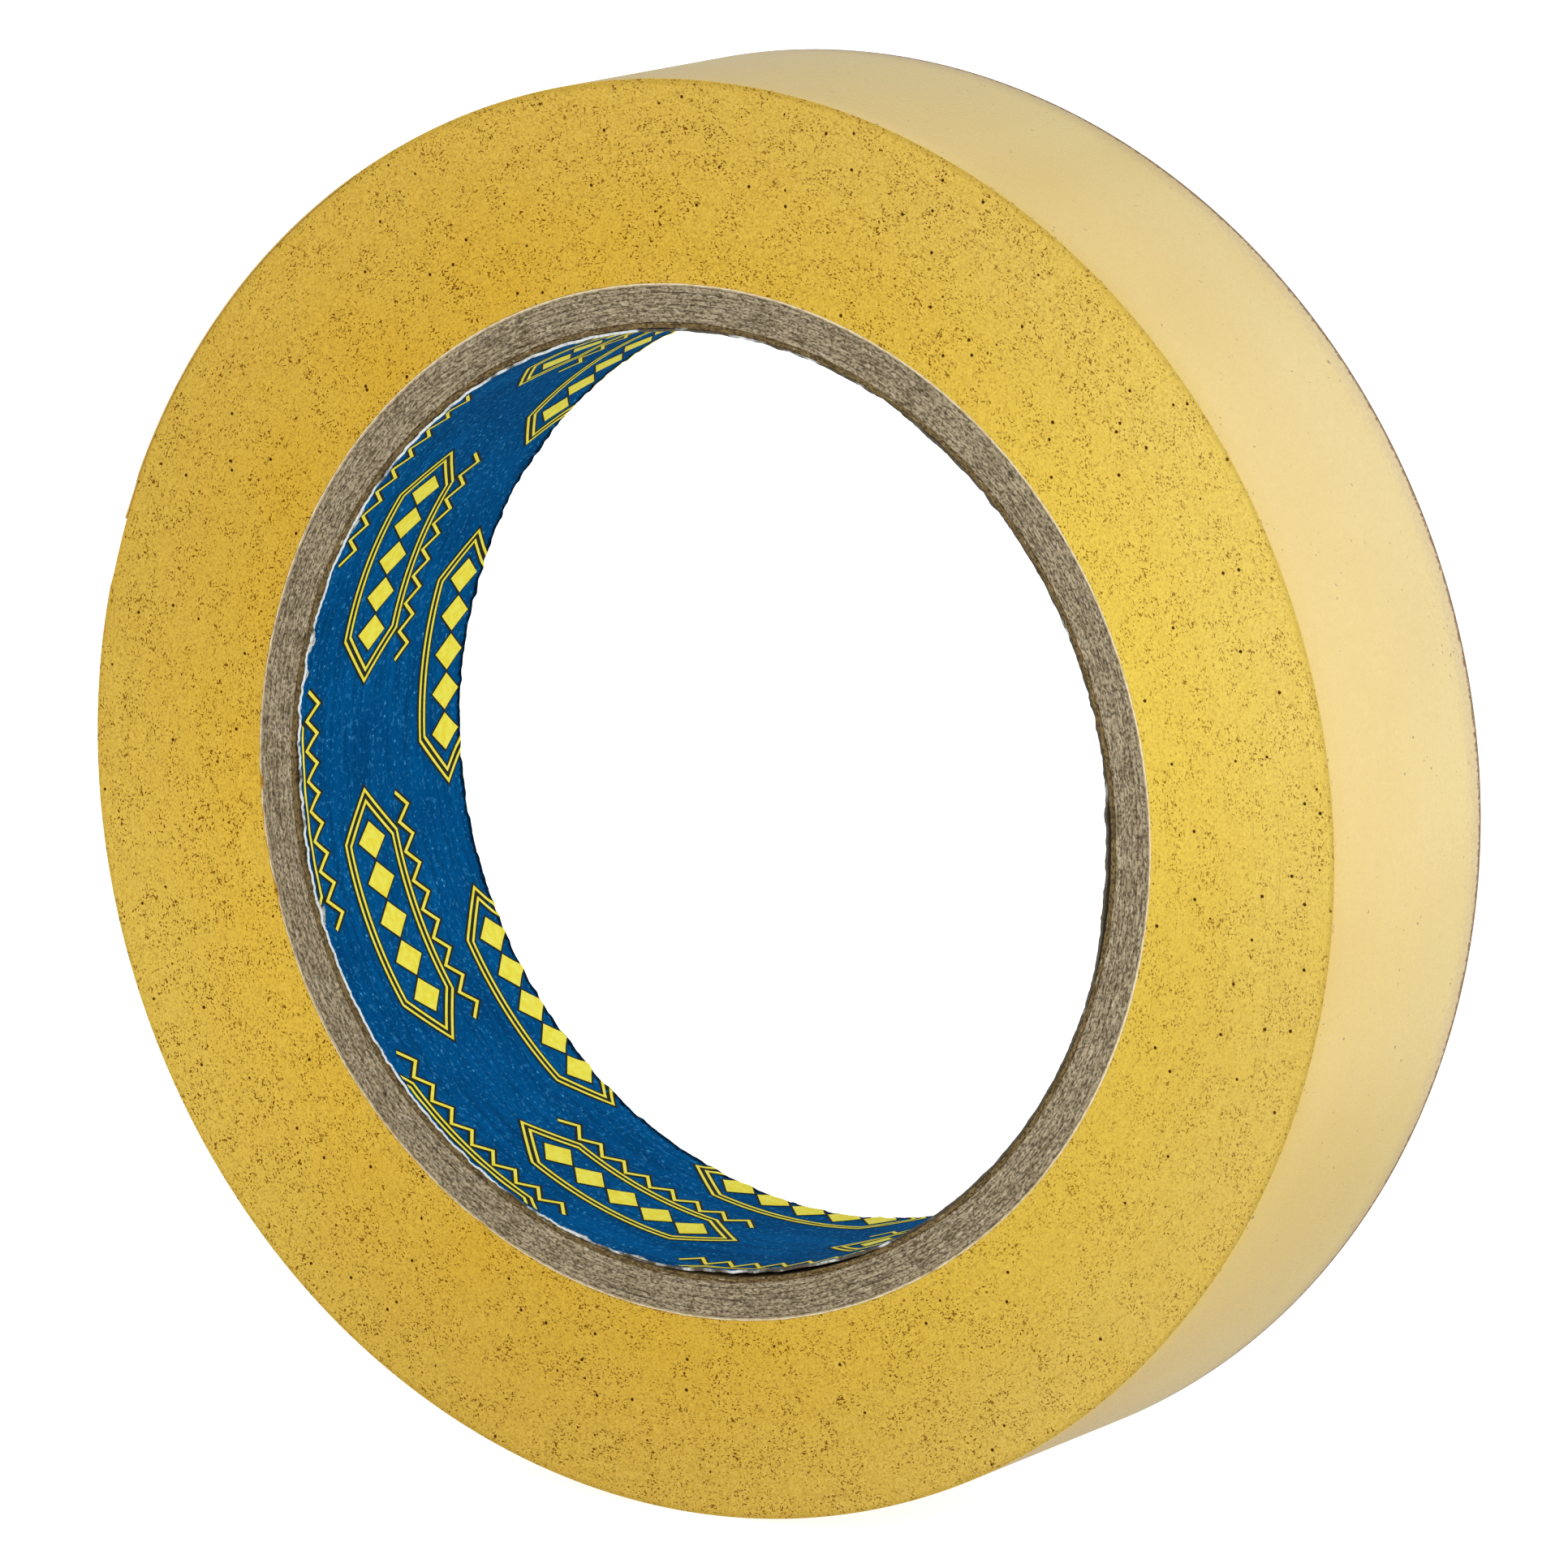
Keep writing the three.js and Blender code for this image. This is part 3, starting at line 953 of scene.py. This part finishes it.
def add_light(name, direction, distance, size, power):
    """A square soft light that faces the roll and that the camera doesn't see."""
    data = bpy.data.lights.new(name, "AREA")
    data.size = size
    data.energy = power
    light = bpy.data.objects.new(name, data)
    towards = Vector(direction).normalized()
    light.location = towards * distance
    light.rotation_mode = "QUATERNION"
    light.rotation_quaternion = towards.to_track_quat("Z", "Y")
    light.visible_camera = False
    bpy.context.scene.collection.objects.link(light)


def add_world(seen, given):
    """A white backdrop: `seen` is its brightness to the camera and `given` the light it gives."""
    world = bpy.data.worlds.new("studio")
    world.use_nodes = True
    tree = world.node_tree
    tree.nodes.clear()
    path = tree.nodes.new("ShaderNodeLightPath")
    strength = tree.nodes.new("ShaderNodeMapRange")
    strength.inputs["To Min"].default_value = given
    strength.inputs["To Max"].default_value = seen
    background = tree.nodes.new("ShaderNodeBackground")
    background.inputs["Color"].default_value = (1, 1, 1, 1)
    output = tree.nodes.new("ShaderNodeOutputWorld")
    tree.links.new(path.outputs["Is Camera Ray"], strength.inputs["Value"])
    tree.links.new(strength.outputs[0], background.inputs["Strength"])
    tree.links.new(background.outputs[0], output.inputs["Surface"])
    bpy.context.scene.world = world


def add_camera():
    """The camera, turned to the aim point from its azimuth and elevation."""
    flat = math.cos(CAMERA_ELEVATION)
    across = (math.sin(CAMERA_AZIMUTH) * flat, -math.cos(CAMERA_AZIMUTH) * flat)
    back = Vector((*across, math.sin(CAMERA_ELEVATION)))
    right = Vector((math.cos(CAMERA_AZIMUTH), math.sin(CAMERA_AZIMUTH), 0))
    up = back.cross(right)
    data = bpy.data.cameras.new("camera")
    data.lens = CAMERA_LENS
    data.clip_start = 0.05
    data.clip_end = 20
    camera = bpy.data.objects.new("camera", data)
    aim = right * CAMERA_SHIFT[0] + up * CAMERA_SHIFT[1]
    camera.location = aim + back * CAMERA_DISTANCE
    camera.rotation_mode = "QUATERNION"
    camera.rotation_quaternion = back.to_track_quat("Z", "Y")
    bpy.context.scene.collection.objects.link(camera)
    bpy.context.scene.camera = camera


add_liner()
add_print("liner_print_key", KEY_GROWTH, KEY_PROUD, DARK_INK)
add_print("liner_print", 0, INK_PROUD, YELLOW_INK)
add_ply(1, "kraft_ply", KRAFT)
for number, board in enumerate(BOARD_PLIES, start=2):
    add_ply(number, board, BOARD)
add_ply(8, "white_outer_ply", WHITE_PAPER)
add_wound_tape()
add_free_end()

add_floor()
add_world(seen=1.0, given=0.52)
add_light("key_front", direction=(0.55, -0.82, 0.18), distance=0.36, size=0.45, power=0.85)
add_light("panel_behind", direction=(0.525, 0.839, 0.14), distance=1.2, size=1.0, power=3.9)
add_light("panel_behind_wide", direction=(0.525, 0.839, 0.14), distance=1.2, size=1.8, power=6.2)
add_light("top_behind", direction=(-0.35, 0.50, 0.79), distance=1.2, size=0.9, power=1.45)
add_camera()
scene = bpy.context.scene
scene.view_settings.view_transform = "Standard"
scene.view_settings.look = "None"
